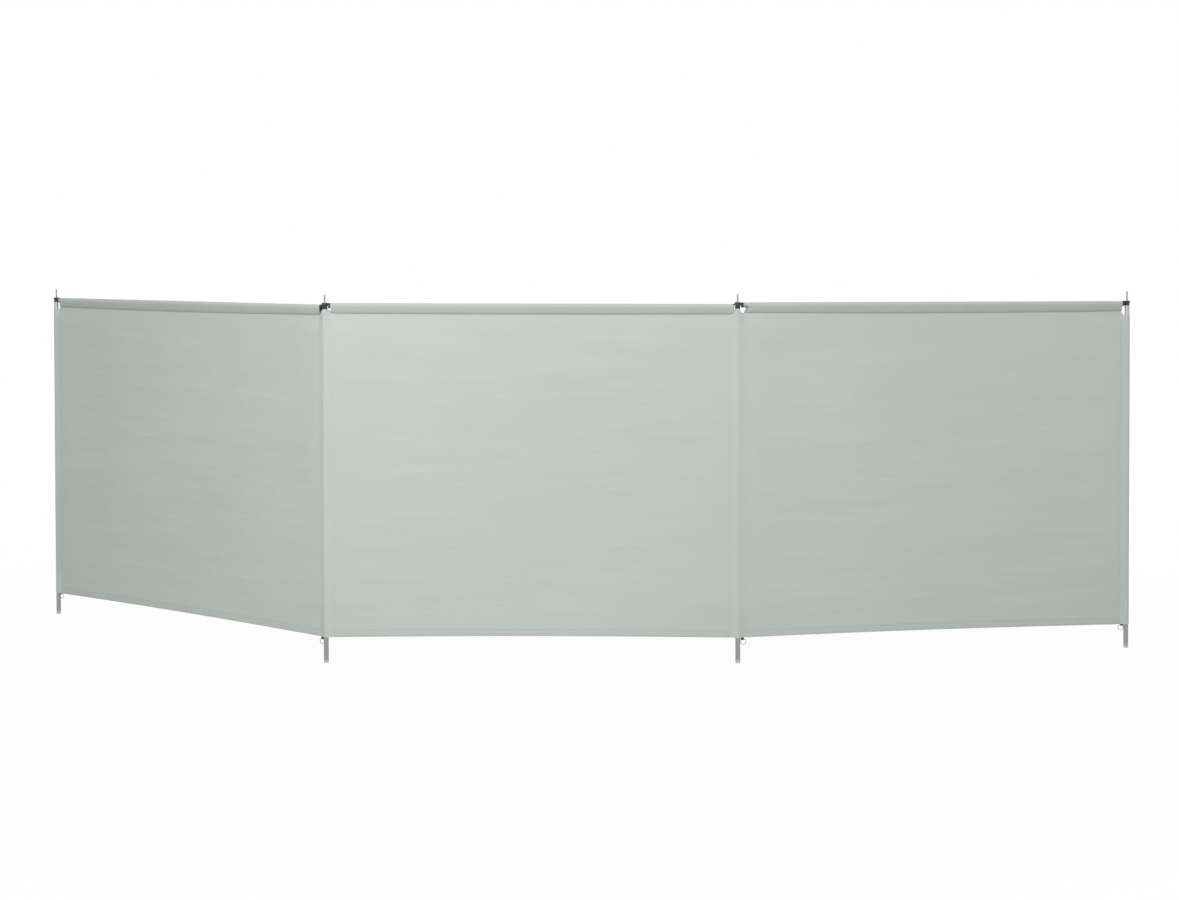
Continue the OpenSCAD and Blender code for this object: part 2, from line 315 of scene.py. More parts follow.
def place_weathering(tree, patch_scale, speck_scale):
    """The weathering in a material; returns the group and the object's coordinates that it reads."""
    where = add_node(tree, "ShaderNodeTexCoord").outputs["Object"]
    values = {"Patch Scale": patch_scale, "Speck Scale": speck_scale}
    group = add_node(tree, "ShaderNodeGroup", values, node_tree=weathering)
    wire(tree, where, group.inputs["Place"])
    return group, where


print("weathering nodes:", len(weathering.nodes))

# %% [markdown]
# The canvas. It is a pale grey green, matt, with a faint bloom from its fibre ends, which is what the
# sheen value does. Fine creases run along the bays, because the rails pull the cloth sideways: they are
# noise that is stretched along the flat pattern. The larger ones are real shape and come with the mesh.
# The tunnel and the hem carry painted shade. The mesh marks them with an attribute that darkens the cloth's
# colour: a little at the tunnel's top and on the hem, most down the tunnel's underside to the seam and on
# the strip behind. It stands in for the shade under the tunnel and for the light that two layers keep out.

# %% Canvas material
LIGHT_CANVAS, DARK_CANVAS = linear(203, 209, 205), linear(195, 201, 197)
# Painted shade colour: the cloth's colour is multiplied by it where the attribute marks it.
PAINTED_SHADE_TONE = (0.84, 0.84, 0.84, 1)
CREASE_REPEATS = (3.0, 70.0, 1.0)

canvas, tree, shader = new_material(
    "grey_green_canvas", specular_ior_level=0.25, sheen_weight=0.12, sheen_roughness=0.5
)
yarn, flat = place_weave(tree)
sun, _ = place_weathering(tree, 1.7, 160.0)
patches = calc(tree, "MULTIPLY", calc(tree, "SUBTRACT", sun.outputs["Patches"], 0.5), 0.9)
yarns = calc(tree, "MULTIPLY", yarn.outputs["Yarn Shade"], 1.1)
shade = calc(tree, "ADD", calc(tree, "ADD", patches, 0.5), yarns)
colour = blend_colours(tree, shade, DARK_CANVAS, LIGHT_CANVAS)
# Painted shade: the attribute's share darkens the tunnel and the hem.
painted_shade_marks = add_node(tree, "ShaderNodeAttribute", attribute_name="painted_shade")
colour_with_painted_shade = blend_colours(tree, painted_shade_marks.outputs["Fac"], colour, PAINTED_SHADE_TONE, "MULTIPLY")
wire(tree, colour_with_painted_shade, shader.inputs["Base Color"])
wire(tree, remap(tree, sun.outputs["Specks"], 0, 1, 0.78, 0.95), shader.inputs["Roughness"])
creased = emboss(tree, stretched_noise(tree, flat, CREASE_REPEATS, 2.0, "2D"), 0.5, 0.001)
woven = emboss(tree, yarn.outputs["Height"], 0.35, 0.0001, under=creased)
wire(tree, woven, shader.inputs["Normal"])
print("canvas:", len(canvas.node_tree.nodes), "nodes")

# %% [markdown]
# The peg loops are made of two stuffs. The tab is a dark olive webbing with a coarser weave than the
# canvas, and the ring is a lighter cord. The thread is a twisted yarn in a darker grey than the canvas,
# which is why the stitch rows show as thin dark lines.

# %% Webbing, cord and thread
def make_webbing(name, dark, light, yarns):
    material, tree, shader = new_material(name, roughness=0.85, sheen_weight=0.1)
    yarn, _ = place_weave(tree, yarns, 0.35)
    shade = calc(tree, "ADD", 0.5, calc(tree, "MULTIPLY", yarn.outputs["Yarn Shade"], 1.6))
    wire(tree, blend_colours(tree, shade, dark, light), shader.inputs["Base Color"])
    wire(tree, emboss(tree, yarn.outputs["Height"], 0.6, 0.0002), shader.inputs["Normal"])
    return material


olive_webbing = make_webbing("olive_webbing", linear(54, 56, 48), linear(76, 78, 68), 1400.0)
olive_cord = make_webbing("olive_cord", linear(136, 138, 124), linear(166, 168, 152), 1900.0)

thread, tree, shader = new_material("grey_thread", roughness=0.6)
where = add_node(tree, "ShaderNodeTexCoord")
fibre = add_node(tree, "ShaderNodeTexNoise", {"Scale": 1800.0, "Detail": 2.0})
wire(tree, where.outputs["Object"], fibre.inputs["Vector"])
wire(tree, blend_colours(tree, fibre.outputs["Fac"], linear(96, 101, 99), linear(132, 138, 134)),
     shader.inputs["Base Color"])
wire(tree, emboss(tree, fibre.outputs["Fac"], 0.5, 0.0001), shader.inputs["Normal"])
print("webbing, cord and thread ready")

# %% [markdown]
# Steel tube with a zinc skin: dull, a little cloudy, with fine lines along its length from drawing it
# through a die. The lines are noise squeezed across the tube and stretched along it, so tube that stands
# and rail that lies need them in different directions. Sand has rubbed the feet pale. The last
# centimetres of each pole under its cap are painted paler as well: a painted highlight where the steel
# catches the light.

# %% Steel material
# The second band is the height of the painted highlight at a pole's top; the pale zinc colour serves both
# the worn feet and that painted highlight.
FOOT_RUBBED, TOP_HIGHLIGHT_BAND = (0.002, 0.018), (1.325, 1.345)
WORN_AND_HIGHLIT_ZINC = linear(228, 224, 216)


def make_steel(name, lines, tint, rough_low, rough_high, painted_top_highlight=0.0):
    """lines is how often the drawn lines repeat along X, Y and Z, per metre; the last argument is how
    strong the painted highlight over the last centimetres under a cap is."""
    material, tree, shader = new_material(name, metallic=0.62)
    zinc, where = place_weathering(tree, 26.0, 420.0)
    drawn = stretched_noise(tree, where, lines, 3.0)
    height = add_node(tree, "ShaderNodeSeparateXYZ")
    wire(tree, where, height.inputs[0])
    foot = remap(tree, height.outputs["Z"], *FOOT_RUBBED, 1.5, 0.0)
    # Painted highlight: paler steel over the last centimetres under the cap. The mask after it holds both
    # the worn feet and this painted highlight.
    top = remap(tree, height.outputs["Z"], *TOP_HIGHLIGHT_BAND, 0.0, painted_top_highlight)
    rubbed = calc(tree, "MULTIPLY", calc(tree, "MAXIMUM", foot, top), zinc.outputs["Specks"])
    cloudy = blend_colours(tree, zinc.outputs["Patches"],
                           tuple(0.82 * c for c in tint) + (1,), tint + (1,))
    lined = blend_colours(tree, calc(tree, "MULTIPLY", drawn, 0.35), cloudy, (0.2, 0.2, 0.2, 1))
    wire(tree, blend_colours(tree, rubbed, lined, WORN_AND_HIGHLIT_ZINC), shader.inputs["Base Color"])
    rough = remap(tree, zinc.outputs["Patches"], 0, 1, rough_low, rough_high)
    rougher = calc(tree, "ADD", rough, calc(tree, "MULTIPLY", rubbed, 0.5))
    wire(tree, rougher, shader.inputs["Roughness"])
    wire(tree, emboss(tree, drawn, 0.18, 0.0002), shader.inputs["Normal"])
    return material


TUBE_TINT, ROD_TINT = (0.40, 0.40, 0.39), (0.36, 0.36, 0.355)
# The pole steel gets the painted highlight at its top.
pole_steel = make_steel("zinc_pole_tube", (900.0, 900.0, 5.0), TUBE_TINT, 0.32, 0.48, painted_top_highlight=0.5)
rail_steel = make_steel("zinc_rail_tube", (6.0, 700.0, 900.0), TUBE_TINT, 0.32, 0.48)
spike_steel = make_steel("plated_spike_rod", (1500.0, 1500.0, 12.0), ROD_TINT, 0.24, 0.38)
print("steels ready")

# %% [markdown]
# The rail ends and pole caps are moulded in black plastic with a fine spark-eroded grain. The plugs in
# the pole feet are the same stuff in grey, scuffed by the ground.

# %% Plastic materials
def make_plastic(name, colour, rubbed, rough_low, rough_high):
    material, tree, shader = new_material(name)
    wear, _ = place_weathering(tree, 90.0, 2600.0)
    scuffs = remap(tree, wear.outputs["Patches"], 0.52, 0.78, 0.0, 0.6)
    wire(tree, blend_colours(tree, scuffs, colour, rubbed), shader.inputs["Base Color"])
    rough = remap(tree, wear.outputs["Patches"], 0, 1, rough_low, rough_high)
    wire(tree, rough, shader.inputs["Roughness"])
    wire(tree, emboss(tree, wear.outputs["Specks"], 0.25, 0.0001), shader.inputs["Normal"])
    return material


black_plastic = make_plastic("black_moulding", linear(34, 36, 37), linear(58, 60, 60), 0.34, 0.55)
foot_plastic = make_plastic("grey_foot_moulding", linear(150, 148, 143), linear(176, 172, 164), 0.55, 0.8)
print("plastics ready")

# %% [markdown]
# Now the sizes that the cloth shares with the construction model: where the bays stand, how high each
# rail lies, and where the seams run. A bay's own frame has its origin at the bay's left pole, with u
# along the bay, y to the back and z up; the bay's place function turns such a point into the object's.

# %% Bays
PITCH = 1.600
POLE_R = 0.0095
RAIL_AXIS = 1.3828
EYE_STEP = 0.0063
SEAM_DROP = 0.0292
SEAM_REACH = 0.025
seam_sag = {"left": 0.005, "middle": 0.0025, "right": 0.005}
HEM_BOTTOM = 0.095
HEM_HEIGHT = 0.028
CANVAS_T = 0.0008
LAYER = 0.00045
TUNNEL_R = 0.0103
FRONT_STAND = 0.0055


class Bay:
    def __init__(self, name, left_pole, turn, stacked):
        self.name, self.body, self.stacked = name, name + "_bay", stacked
        self.left_pole, self.turn = Vector(left_pole), math.radians(turn)
        self.along = Vector((math.cos(self.turn), math.sin(self.turn), 0))
        self.back = Vector((-math.sin(self.turn), math.cos(self.turn), 0))

    def axis(self, u):
        """Height of the rail's axis; a stacked rail starts one eye higher and runs down to its far pole."""
        return RAIL_AXIS + (EYE_STEP * (1 - u / PITCH) if self.stacked else 0)

    def seam(self, u):
        """Height of the seam under the rail, which hangs lower between the poles."""
        sag = seam_sag[self.name] * math.sin(math.pi * min(1, max(0, u / PITCH)))
        return self.axis(u) - SEAM_DROP - sag

    def place(self, u, y, z):
        return self.left_pole + u * self.along + y * self.back + Vector((0, 0, z))


LEFT_TURN, RIGHT_TURN = -34.0, 9.5
far_left = (-PITCH * math.cos(math.radians(LEFT_TURN)), -PITCH * math.sin(math.radians(LEFT_TURN)), 0)
bays = {
    "left": Bay("left", far_left, LEFT_TURN, False),
    "middle": Bay("middle", (0, 0, 0), 0.0, True),
    "right": Bay("right", (PITCH, 0, 0), RIGHT_TURN, True),
}
for bay in bays.values():
    print(bay.name, "bay starts at", [round(c, 3) for c in bay.left_pole],
          "seam height", round(bay.seam(SEAM_REACH), 4))

# %% [markdown]
# Every piece of cloth here starts as a grid, the same way as cloth starts as a flat cut. Each crossing of
# the grid is then carried to its place on the object, and its flat position is kept as a UV map in
# metres, so the weave keeps its scale. Solidify gives the thickness that shows at every raw edge.

# %% Cloth helpers
def cloth_from_grid(name, flat, place, painted_shade=None):
    """flat[j][i] is a crossing's place on the cut (metres), place[j][i] its place on the object, and the
    last argument gives each row j its share of painted shade, from 0 to 1."""
    rows, columns = len(flat) - 1, len(flat[0]) - 1
    bpy.ops.mesh.primitive_grid_add(x_subdivisions=columns, y_subdivisions=rows, size=1)
    piece = bpy.context.object
    piece.name = piece.data.name = name
    mesh = piece.data
    assert len(mesh.vertices) == (rows + 1) * (columns + 1)
    index = [(round((v.co.y + 0.5) * rows), round((v.co.x + 0.5) * columns)) for v in mesh.vertices]
    uv = mesh.uv_layers.active or mesh.uv_layers.new()
    uv.name = "flat_pattern"
    for loop in mesh.loops:
        j, i = index[loop.vertex_index]
        uv.data[loop.index].uv = flat[j][i]
    for vertex, (j, i) in zip(mesh.vertices, index):
        vertex.co = place[j][i]
    if painted_shade:
        # Painted shade marks, one share for each row of the grid.
        painted_shade_marks = mesh.attributes.new("painted_shade", "FLOAT", "POINT")
        for mark, (j, i) in zip(painted_shade_marks.data, index):
            mark.value = painted_shade[j]
    mesh.update()
    return piece


def select_only(*pieces):
    """Selects these pieces and nothing else; the first becomes the active one."""
    bpy.ops.object.select_all(action="DESELECT")
    for piece in pieces:
        piece.select_set(True)
    bpy.context.view_layer.objects.active = pieces[0]


def coat(piece, material):
    """Makes this the piece's only material."""
    piece.data.materials.clear()
    piece.data.materials.append(material)


def finish_cloth(piece, thickness, material):
    """Gives the sheet its thickness, smooths its shading and puts its material on."""
    select_only(piece)
    shell = piece.modifiers.new("thickness", "SOLIDIFY")
    shell.thickness = thickness
    shell.offset = 0
    bpy.ops.object.modifier_apply(modifier=shell.name)
    bpy.ops.object.shade_smooth_by_angle(angle=math.radians(50))
    coat(piece, material)
    return piece


def ease(x):
    """A smooth step from 0 to 1."""
    x = min(1.0, max(0.0, x))
    return x * x * (3 - 2 * x)


def between(table, x):
    """Reads a smooth curve through the (x, value) pairs of a table."""
    if x <= table[0][0]:
        return table[0][1]
    for (x0, y0), (x1, y1) in zip(table, table[1:]):
        if x <= x1:
            return y0 + (y1 - y0) * ease((x - x0) / (x1 - x0))
    return table[-1][1]


print("cloth helpers ready")

# %% [markdown]
# One bay's canvas is a single cut. Followed from the back: a strip that lies behind the panel, up and
# over the rail as a tunnel, down to the seam, on as the flat panel, then folded up behind itself as the
# hem. A table of stations across the cut says where each line of the grid lies. Stiff cloth doesn't run
# straight from the rail to the seam: it stays full and then turns in, which draws a dark line there.

# %% Stations of a bay's cut
def tunnel_stations():
    """(y, height over the rail's axis) from the back strip's edge over the rail to the front seam."""
    stations = [(LAYER, -SEAM_DROP - 0.009 + 0.003 * k) for k in range(3)]
    flank = []
    for down in (1.0, 0.975, 0.95, 0.91, 0.86, 0.80, 0.72, 0.62, 0.50, 0.37, 0.24, 0.12):
        full = 1 - 0.5 * down ** 1.5 - 0.5 * down ** 9
        flank.append((LAYER + (TUNNEL_R - LAYER) * full, -SEAM_DROP * down))
    steps = 20
    over = [(TUNNEL_R * math.cos(math.pi * k / steps), TUNNEL_R * math.sin(math.pi * k / steps))
            for k in range(steps + 1)]
    return stations + flank + over + [(-y, z) for y, z in reversed(flank)]


PANEL_ROWS = 150
BELOW_SEAM = (0.001, 0.0022, 0.004)
over_rail = tunnel_stations()
stations = [("rail", y, z) for y, z in over_rail]
stations += [("panel", -LAYER, step) for step in BELOW_SEAM]
stations += [("panel", -LAYER, (k + 1) / PANEL_ROWS) for k in range(PANEL_ROWS)]
hem_fold = [math.pi * k / 4 for k in range(1, 4)]
stations += [("hem", -LAYER * math.cos(a), -LAYER * math.sin(a)) for a in hem_fold]
stations += [("hem", LAYER, HEM_HEIGHT * k / 5) for k in range(6)]
columns_near_pole = [0, 0.003, 0.006, 0.009, 0.013, 0.018, 0.024, 0.031, 0.040, 0.050]
inner_columns = [0.0625 + 0.0125 * k for k in range(115)]
cut_width = PITCH - 2 * SEAM_REACH
columns = columns_near_pole + inner_columns + [cut_width - c for c in reversed(columns_near_pole)]
print("stations:", len(stations), "columns:", len(columns))

# %% [markdown]
# The cut doesn't end square at the poles. At two corners the tunnel is cut back round the moulded rail
# end, and at two it reaches further over it. The corner tables give how far the cut's edge moves in, by
# the height over the rail's axis.

# %% Corners of the cut
CORNER_WIDTH = 0.05
NO_CORNER = [(-0.03, 0.0), (0.02, 0.0)]
DEEP_CORNER = [(-0.0292, 0.0), (-0.016, 0.0080), (-0.004, 0.0140), (0.005, 0.0040), (0.010, -0.0040)]
LONG_CORNER = [(-0.0292, 0.0), (-0.018, -0.0100), (0.0060, -0.0095), (0.0080, -0.0010)]
LOW_CORNER = [(-0.0292, -0.0020), (-0.022, -0.0060), (-0.013, -0.0055), (0.0068, -0.0050),
              (0.0084, -0.0010)]
SHORT_CORNER = [(-0.0292, 0.0060), (-0.004, 0.0070), (0.005, 0.0050), (0.010, 0.0010)]
corner_tables = {
    ("left", 0): SHORT_CORNER, ("left", 1): LOW_CORNER,
    ("middle", 0): NO_CORNER, ("middle", 1): LONG_CORNER,
    ("right", 0): DEEP_CORNER, ("right", 1): NO_CORNER,
}


def edge_shift(bay_name, from_left, height):
    """How far a crossing of the tunnel moves along the bay because of its corner, in metres."""
    from_right = cut_width - from_left
    shift = 0.0
    if from_left < CORNER_WIDTH:
        shift += between(corner_tables[bay_name, 0], height) * (1 - ease(from_left / CORNER_WIDTH))
    if from_right < CORNER_WIDTH:
        shift -= between(corner_tables[bay_name, 1], height) * (1 - ease(from_right / CORNER_WIDTH))
    return shift


print("corners:", len(corner_tables))

# %% [markdown]
# Hung cloth is never quite flat. Long, shallow creases run along the bay, the panel bellies back by a few
# millimetres, and the stitching gathers the cloth a little. All of it dies away at the seams and the
# hem, where the cloth is held. Beside a pole the pull does the opposite: it draws the panel forward, almost
# to the front of the tube, so that the front runs nearly flat from bay to bay. The hem is sewn a little
# short, so between two poles it rises in a long flat arch, and it has crept up the inner poles.

# %% Creases
HEM_ARCH = 0.005
hem_lift = {"left_end": -0.002, "left_inner": 0.005, "right_inner": 0.004, "right_end": 0.0}
bay_poles = {
    "left": ("left_end", "left_inner"), "middle": ("left_inner", "right_inner"),
    "right": ("right_inner", "right_end"),
}
PANEL_HEIGHT = 1.228
LONG_CREASE, SHORT_CREASE, SLACK, BELLY = 0.0018, 0.0007, 0.0035, 0.005
HELD_EDGE = 0.12
PULL_REACH, PULL_TOP = 0.22, 0.07
PUCKER, PUCKER_AT, PUCKER_SPREAD = 0.0005, 0.013, 0.009


def hem_edge(bay_name, u):
    """Height of the hem's lower edge."""
    share = (u - SEAM_REACH) / (PITCH - 2 * SEAM_REACH)
    first, last = (hem_lift[pole] for pole in bay_poles[bay_name])
    return HEM_BOTTOM + first + (last - first) * share + HEM_ARCH * math.sin(math.pi * share)


def row_height(bay, kind, step, u):
    """Height of a row of the cut's grid at u."""
    if kind == "rail":
        drop = bay.axis(u) - bay.seam(u)
        return bay.axis(u) + step * (drop / SEAM_DROP if step < 0 else 1)
    if kind == "panel":
        return bay.seam(u) + (hem_edge(bay.name, u) - bay.seam(u)) * step
    return hem_edge(bay.name, u) + step


def crease_depth(bay_name, u, down):
    """How far the panel stands off its plane; u from the left pole, down from the seam, in metres."""
    seed = {"left": 3.1, "middle": 17.7, "right": 41.3}[bay_name]
    held = ease(min(u - SEAM_REACH, PITCH - SEAM_REACH - u) / HELD_EDGE) * ease(down / 0.10)
    held *= ease((PANEL_HEIGHT - down) / HELD_EDGE)
    creases = LONG_CREASE * noise.noise(Vector((u * 1.9 + seed, down * 13.0, seed)))
    creases += SHORT_CREASE * noise.noise(Vector((u * 4.5 + seed, down * 31.0, seed + 5.0)))
    creases += SLACK * noise.noise(Vector((u * 1.1, down * 1.6, seed + 9.0)))
    middle = math.sin(math.pi * u / PITCH) * math.sin(math.pi * min(1.0, down / PANEL_HEIGHT))
    return held * creases + BELLY * middle * held


def forward(u, seam_height, z):
    """How far the pull beside a pole draws the panel to the front."""
    beside = 1 - ease((min(u, PITCH - u) - SEAM_REACH) / PULL_REACH)
    over_hem = z - HEM_BOTTOM - HEM_HEIGHT
    return FRONT_STAND * beside * ease((seam_height - z) / PULL_TOP) * ease(over_hem / HELD_EDGE)


def gather(bay_name, u, off_seam):
    """Small puckers that a row of stitches draws into the cloth beside it."""
    seed = {"left": 5.0, "middle": 11.0, "right": 23.0}[bay_name]
    fade = math.exp(-((off_seam - PUCKER_AT) / PUCKER_SPREAD) ** 2)
    return PUCKER * fade * noise.noise(Vector((u * 55.0, seed, 0.5)))


print("belly at the middle bay's centre:", round(1000 * crease_depth("middle", 0.8, 0.63), 1), "mm")

# %% Bay canvases
TUNNEL_RIPPLE = 0.0007


def make_bay_canvas(bay):
    flat, place, painted_shade, length = [], [], [], 0.0
    previous = None
    hem_share = HEM_HEIGHT / (bay.seam(PITCH / 2) - HEM_BOTTOM)
    for kind, y, step in stations:
        flat_row, place_row = [], []
        for from_left in columns:
            u = SEAM_REACH + from_left
            stand, z, seam = y, row_height(bay, kind, step, u), bay.seam(u)
            if kind == "rail":
                loose = ease(-(step + 0.004) / 0.012) * ease((step + SEAM_DROP) / 0.008)
                ripple = noise.noise(Vector((u * 14, y * 200, 2.0)))
                stand += math.copysign(TUNNEL_RIPPLE, -y) * loose * ripple
                u += edge_shift(bay.name, from_left, step)
            elif kind == "panel":
                stand += crease_depth(bay.name, u, seam - z) + gather(bay.name, u, seam - z)
                stand -= forward(u, seam, z)
            place_row.append(bay.place(u, stand, z))
            flat_row.append(u)
        middle_point = (y, row_height(bay, kind, step, PITCH / 2))
        if previous is not None:
            length += math.dist(previous, middle_point)
        previous = middle_point
        flat.append([(u, length) for u in flat_row])
        place.append(place_row)
        # Painted shade per row: light at the tunnel's top, darkest down its underside and on the strip
        # behind, a little on the hem.
        if kind == "rail":
            painted_shade.append(0.15 + 0.85 * ease(0.5 - step / 0.020))
        else:
            painted_shade.append(0.0 if kind == "panel" and step < 1 - hem_share else 0.2)
    piece = cloth_from_grid(bay.name + "_canvas", flat, place, painted_shade)
    return finish_cloth(piece, CANVAS_T, canvas), length


bay_canvases, cut_lengths = {}, {}
for name, bay in bays.items():
    bay_canvases[name], cut_lengths[name] = make_bay_canvas(bay)
    print(name, "cut:", round(cut_width, 3), "x", round(cut_lengths[name], 3), "m,",
          len(bay_canvases[name].data.polygons), "faces")

# %% [markdown]
# The canvas also goes round the poles. Seen from above, a sleeve runs straight from its seam to where it
# touches the tube, round the tube, and straight on to the next seam. At an end pole it comes back to its
# own bay; at an inner pole it goes on to the next bay, once in front of the pole and once behind it.

# %% Paths round a pole
STRIP_END = 0.031
FACE_OFF = 0.0013


def polar(radius, degrees):
    a = math.radians(degrees)
    return Vector((radius * math.cos(a), radius * math.sin(a)))


def half_path(direction, off, turn):
    """From a strip's end to where the cloth touches the tube. Direction is that of the bay, off is how far
    the strip stands from the bay's middle plane, and turn is the way round the pole, 1 or -1."""
    touch = math.degrees(math.atan2(off, SEAM_REACH) + math.acos(TUNNEL_R / math.hypot(SEAM_REACH, off)))
    face = polar(off, direction + 90 * turn)
    seam_point = polar(SEAM_REACH, direction) + face
    touch_point = polar(TUNNEL_R, direction + turn * touch)
    reach = TUNNEL_R * math.cos(math.radians(touch))
    strip = [(polar(STRIP_END - 0.002 * k, direction) + face, STRIP_END - 0.002 * k) for k in range(3)]
    flank = [(seam_point.lerp(touch_point, k / 8), SEAM_REACH + (reach - SEAM_REACH) * k / 8)
             for k in range(8)]
    return strip + flank, touch, reach


def path_round_pole(start, end, off_start, off_end, steps):
    """Points of the path as (place, reach); start and end are the directions of the two bays in degrees.
    Reach runs from minus the strip's end at the first bay to plus the strip's end at the second."""
    way = 1 if end > start else -1
    first, touch_start, reach_start = half_path(start, off_start, way)
    last, touch_end, reach_end = half_path(end, off_end, -way)
    arc = abs(end - start) - touch_start - touch_end
    points = [(point, -reach) for point, reach in first]
    for k in range(steps + 1):
        points.append((polar(TUNNEL_R, start + way * (touch_start + arc * k / steps)),
                       -reach_start + (reach_start + reach_end) * k / steps))
    return points + last[::-1]


print("a path round a pole:", len(path_round_pole(146, 360, FACE_OFF, FACE_OFF, 11)), "points")

# %% Sleeve builder
SLEEVE_ROWS = [0.0, 0.004, 0.012, 0.028] + [0.04 + 0.0125 * k for k in range(92)]
TOP_ROWS = 10
FOLD_DEPTH = 0.0005


def make_sleeve(name, pole, lift, start, end, seams, sides, top):
    """Cloth round a pole. Seams are the heights of the two bays' seams, sides say whether each end of the
    cloth lies on its bay's front (1) or back (-1), top is the table of its upper edge by reach, and lift is
    how far its lower edge has crept up the pole."""
    steps = max(5, round((abs(end - start) - 137) / 7))
    upper = HEM_BOTTOM + SLEEVE_ROWS[-1]
    seed = sum(ord(c) for c in name) * 0.37

    def path_at(z):
        offs = [FACE_OFF + side * forward(SEAM_REACH, seam, z) for side, seam in zip(sides, seams)]
        return path_round_pole(start, end, *offs, steps)

    lengths = [0.0]
    middle_path = path_at(0.7)
    for (a, _), (b, _) in zip(middle_path, middle_path[1:]):
        lengths.append(lengths[-1] + (b - a).length)
    flat, place = [], []
    for j in range(len(SLEEVE_ROWS) + TOP_ROWS):
        flat_row, place_row = [], []
        row = SLEEVE_ROWS[min(j, len(SLEEVE_ROWS) - 1)]
        row_z = HEM_BOTTOM + row + lift * (1 - ease(row / 0.15))
        for i, ((point, reach), s) in enumerate(zip(path_at(row_z), lengths)):
            z = row_z
            if j >= len(SLEEVE_ROWS):
                z = upper + (between(top, reach) - upper) * (j - len(SLEEVE_ROWS) + 1) / TOP_ROWS
                point = path_at(z)[i][0]
            free = 1 - ease((abs(reach) - 0.017) / 0.007)
            fold = noise.noise(Vector((s * 90 + seed, z * 3.2, seed)))
            fold += 0.5 * noise.noise(Vector((s * 40, z * 17, seed)))
            out = point.normalized() * (FOLD_DEPTH * free * max(0.0, fold + 0.25))
            place_row.append(Vector((pole[0] + point.x + out.x, pole[1] + point.y + out.y, z)))
            flat_row.append((s, z - HEM_BOTTOM))
        flat.append(flat_row)
        place.append(place_row)
    return finish_cloth(cloth_from_grid(name, flat, place), CANVAS_T, canvas), lengths[-1]


print("sleeve rows:", len(SLEEVE_ROWS) + TOP_ROWS)

# %% [markdown]
# At the end poles a round notch is cut into the sleeve's top beside the rail, and one can look through
# between pole and cloth there. At the inner poles the notch is small, and the cloth climbs the pole
# almost to the rail ends.

# %% Pole sleeves
poles = {
    "left_end": bays["left"].left_pole, "left_inner": Vector((0, 0, 0)),
    "right_inner": Vector((PITCH, 0, 0)), "right_end": bays["right"].place(PITCH, 0, 0),
}
end_seam = RAIL_AXIS - SEAM_DROP
NOTCH_DEPTH = 0.0455
notch_floor = RAIL_AXIS - NOTCH_DEPTH
notch_r = end_seam - notch_floor


def notch_table():
    """Upper edge of an end sleeve: level round the pole, then a quarter circle up to the seam."""
    right_side = [(SEAM_REACH - notch_r * (1 - math.sin(math.radians(a))),
                   end_seam - notch_r * math.cos(math.radians(a))) for a in (0, 15, 30, 45, 60, 75, 84)]
    right_side += [(SEAM_REACH, end_seam - 0.002), (STRIP_END, end_seam - 0.002)]
    return [(-r, z) for r, z in reversed(right_side)] + right_side


inner_tops = {
    "left_inner": [(-0.031, 1.3516), (-0.025, 1.3530), (-0.021, 1.3600), (-0.015, 1.3615), (-0.009, 1.3640),
                   (-0.005, 1.3720), (0.001, 1.3748), (0.004, 1.3670), (0.007, 1.3755), (0.013, 1.3755),
                   (0.018, 1.3730), (0.022, 1.3685), (0.026, 1.3610), (0.031, 1.3585)],
    "right_inner": [(-0.031, 1.3516), (-0.025, 1.3560), (-0.018, 1.3690), (-0.010, 1.3730), (0.000, 1.3740),
                    (0.004, 1.3730), (0.007, 1.3660), (0.011, 1.3610), (0.018, 1.3600), (0.024, 1.3590),
                    (0.031, 1.3580)],
}
end_seams = (end_seam, end_seam)
left_seams = (end_seam, bays["middle"].seam(0))
right_seams = (bays["middle"].seam(PITCH), bays["right"].seam(0))
sleeve_plans = {
    "left_end_wrap": ("left_end", LEFT_TURN, LEFT_TURN - 360, end_seams, (1, -1)),
    "right_end_wrap": ("right_end", 180 + RIGHT_TURN, RIGHT_TURN + 540, end_seams, (1, -1)),
    "left_inner_wrap_front": ("left_inner", 180 + LEFT_TURN, 360, left_seams, (1, 1)),
    "left_inner_wrap_back": ("left_inner", 180 + LEFT_TURN, 0, left_seams, (-1, -1)),
    "right_inner_wrap_front": ("right_inner", 180, 360 + RIGHT_TURN, right_seams, (1, 1)),
    "right_inner_wrap_back": ("right_inner", 180, RIGHT_TURN, right_seams, (-1, -1)),
}
sleeves = {}
for name, (pole_name, *plan) in sleeve_plans.items():
    top = inner_tops.get(pole_name) or notch_table()
    sleeves[name] = make_sleeve(name, poles[pole_name], hem_lift[pole_name], *plan, top)
for name, (piece, width) in sleeves.items():
    print(name, "width", round(width, 4), "m", len(piece.data.polygons), "faces")

# %% [markdown]
# Thread. One stitch is a flat little bead with pointed ends, modelled once from a sphere, and an Array
# modifier repeats it along each row. A row lies on the cloth and sinks in by half its thickness. The rows
# of one bay become one piece.

# %% Stitches
STITCH_PITCH, STITCH_LENGTH, THREAD_T = 0.0048, 0.0036, 0.0006


